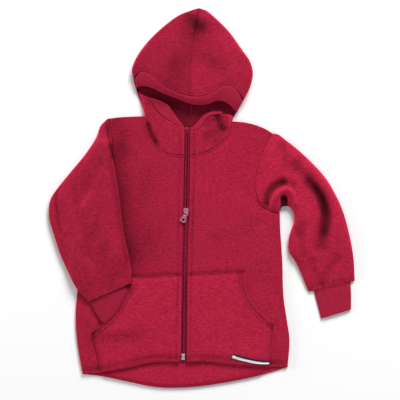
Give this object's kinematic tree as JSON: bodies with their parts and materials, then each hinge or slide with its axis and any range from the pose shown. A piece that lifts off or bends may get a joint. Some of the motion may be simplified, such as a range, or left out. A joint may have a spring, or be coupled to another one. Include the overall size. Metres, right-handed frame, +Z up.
{
  "type": "kids hoodie",
  "caption": "Zip-front fleece hoodie for a child, laid flat on its back, one sleeve bent with its cuff in the kangaroo pocket, with a zip pull tab that lifts.",
  "frame": {"origin": "on the table, under the middle of the garment's outline", "axes": "+X towards the wearer's left sleeve, +Y towards the hood, +Z up off the table"},
  "size_m": [0.5958, 0.7396, 0.027],
  "materials": {
    "fleece": "heathered wine-red brushed fleece, matt, with a short nap",
    "rib": "wine-red fine rib knit, matt",
    "binding": "dark wine woven binding",
    "zip_tape": "dark wine woven zip tape",
    "zip_coil": "mauve nylon coil, slightly glossy",
    "zip_metal": "mauve-pink coated metal, satin",
    "stop_metal": "bare silver metal, satin",
    "ribbon": "white satin ribbon with dark woven edges",
    "thread": "wine-red sewing thread"
  },
  "bodies": {
    "garment": {"back_panel": "fleece", "front_right": "fleece", "front_left": "fleece", "sleeve_left": "fleece", "sleeve_right": "fleece", "cuff_left": "rib", "cuff_right": "rib", "pocket_right": "fleece", "pocket_left": "fleece", "label_ribbon": "ribbon", "tail_binding": "binding", "hood_right": "fleece", "hood_left": "fleece", "hood_band": "rib", "hood_band_right": "rib", "hood_band_left": "rib", "zip_tape_right": "zip_tape", "zip_chain_right": "zip_coil", "zip_tape_left": "zip_tape", "zip_chain_left": "zip_coil", "zip_slider": "zip_metal", "bottom_stop": "stop_metal"},
    "pull_tab": {"pull_tab": "zip_metal"}
  },
  "joints": [
    {"name": "pull_flip", "type": "hinge", "parent": "garment", "child": "pull_tab", "pos_m": [-0.03072, -0.02894, 0.0113], "axis": [-0.9239, 0.3827, 0], "range_deg": [0, 170]}
  ]
}
